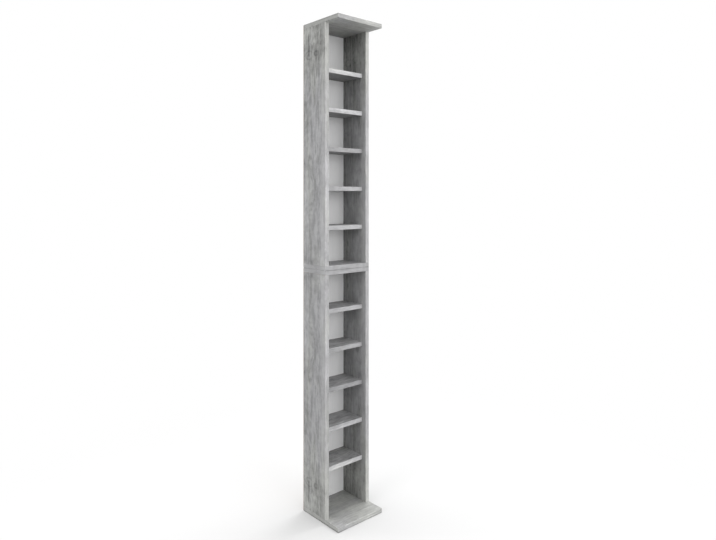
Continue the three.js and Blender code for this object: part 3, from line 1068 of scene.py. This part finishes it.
def add_wires(steel):
    inner_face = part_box("lower_left_side")[1].x
    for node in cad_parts:
        if not node.endswith("_wire"):
            continue
        low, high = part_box(node)
        middle = (low + high) / 2
        hand = 1 if middle.x > 0 else -1
        turn = Matrix.Rotation(math.pi if hand > 0 else 0.0, 4, "Z")
        place = Matrix.Translation((-hand * inner_face, middle.y, middle.z)) @ turn
        span = (high.y - low.y) / MM - 2 * WIRE_RADIUS
        add_fitting(f"{node}_bent", bent_wire(span), place, steel, [node])


NAILS_UP_A_SIDE = 7
NAIL_INSET = 24 * MM
NAIL_STEPS = 20


def nail_places(cabinet):
    """Where the nails go through a cabinet's back panel: into its sides and its two plates."""
    side_low, side_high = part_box(f"{cabinet}_left_side")
    side_x = (side_low.x + side_high.x) / 2
    pitch = (side_high.z - side_low.z - 2 * NAIL_INSET) / (NAILS_UP_A_SIDE - 1)
    heights = [side_low.z + NAIL_INSET + i * pitch for i in range(NAILS_UP_A_SIDE)]
    places = [(hand * side_x, height) for hand in (-1, 1) for height in heights]
    for plate in plates_of(cabinet):
        plate_low, plate_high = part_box(plate)
        middle = (plate_low.z + plate_high.z) / 2
        places += [(hand * side_x / 2, middle) for hand in (-1, 1)]
    return places


def add_back_nails(zinc):
    for cabinet in ("lower", "upper"):
        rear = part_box(f"{cabinet}_back_panel")[1].y
        bm = bmesh.new()
        for x, z in nail_places(cabinet):
            nail = turned(NAIL_OUTLINE, steps=NAIL_STEPS)
            bmesh.ops.recalc_face_normals(nail, faces=nail.faces)
            seat = Matrix.Translation((x / MM, rear / MM, z / MM))
            forwards = seat @ Matrix.Rotation(math.pi / 2, 4, "X")
            bmesh.ops.transform(nail, matrix=forwards, verts=nail.verts)
            mesh = bpy.data.meshes.new("nail")
            nail.to_mesh(mesh)
            nail.free()
            bm.from_mesh(mesh)
            bpy.data.meshes.remove(mesh)
        add_fitting(f"{cabinet}_back_nails", bm, Matrix.Identity(4), zinc, [])


# Light, floor and camera


def link_object(name, data):
    obj = bpy.data.objects.new(name, data)
    bpy.context.scene.collection.objects.link(obj)
    return obj


def add_lamp(name, place, size, power):
    """A square lamp that looks at the middle of the tower."""
    lamp = bpy.data.lights.new(name, "AREA")
    lamp.shape = "SQUARE"
    lamp.size = size
    lamp.energy = power
    obj = link_object(name, lamp)
    obj.visible_camera = False
    obj.location = place
    obj.rotation_euler = (Vector(LAMP_AIM) - Vector(place)).to_track_quat("-Z", "Y").to_euler()


def seen_directly(finish):
    """1 for what is seen, straight or in metal or glass, and 0 for light on its way."""
    path = finish.tree.nodes.new("ShaderNodeLightPath")
    kinds = ("Camera", "Glossy", "Transmission")
    rays = [Signal(finish, path.outputs[f"Is {kind} Ray"]) for kind in kinds]
    return rays[0].math("MAXIMUM", rays[1]).math("MAXIMUM", rays[2])


def add_floor():
    """A pale level floor: white where nothing shades it, and duller in the light it returns."""
    finish = new_finish("floor")
    seen = seen_directly(finish)
    tone = finish.mix(seen, 3 * (FLOOR_TONE,), 3 * (FLOOR_SEEN_TONE,))
    matte = finish.node("BsdfDiffuse", values={"Color": tone})
    glow = finish.node("Emission", values={"Color": opaque(3 * (1.0,)), "Strength": 1.0})
    here = finish.place()
    away = finish.node("VectorMath", {"operation": "LENGTH"}, {0: here}, output="Value")
    far = away.step(*FLOOR_FADE) * seen
    both = finish.node("MixShader", values={0: far, 1: matte, 2: glow})
    finish.node("OutputMaterial", values={"Surface": both})
    bm = bmesh.new()
    bmesh.ops.create_grid(bm, x_segments=2, y_segments=2, size=FLOOR_HALF)
    mesh = bpy.data.meshes.new("floor")
    bm.to_mesh(mesh)
    bm.free()
    mesh.materials.append(finish.holder)
    link_object("floor", mesh)


def add_world():
    """An even white all round."""
    world = bpy.data.worlds.new("studio")
    bpy.context.scene.world = world
    finish = Finish(world)
    white = opaque(3 * (1.0,))
    background = finish.node("Background", values={"Color": white, "Strength": 1.0})
    finish.node("OutputWorld", values={"Surface": background})


def add_camera():
    camera = bpy.data.cameras.new("camera")
    camera.sensor_width = SENSOR_WIDTH
    camera.lens = FOCAL_PIXELS / PHOTO_WIDTH * SENSOR_WIDTH
    camera.shift_y = -(PHOTO_HEIGHT / 2 - HORIZON_ROW) / PHOTO_WIDTH
    camera.clip_end = CAMERA_REACH
    obj = link_object("camera", camera)
    obj.location = CAMERA_PLACE
    obj.rotation_euler = (math.radians(90.0), 0.0, -math.radians(CAMERA_TURN))
    bpy.context.scene.camera = obj


bpy.context.scene.view_settings.view_transform = "Standard"
add_camera()
add_world()
for lamp_name, (lamp_place, lamp_size, lamp_power) in LAMPS.items():
    add_lamp(lamp_name, lamp_place, lamp_size, lamp_power)
add_floor()
dress_boards()
dress_nodes(back_board(), "_back_panel")
zinc = plain_metal("zinc_plate", ZINC, ZINC_CLOUDS_TO_THE_METRE, roughness=0.3)
add_upright_fittings(zinc, bare_beech())
add_back_nails(zinc)
add_wires(plain_metal("drawn_wire", DRAWN_STEEL, WIRE_MARKS_TO_THE_METRE, roughness=0.28))
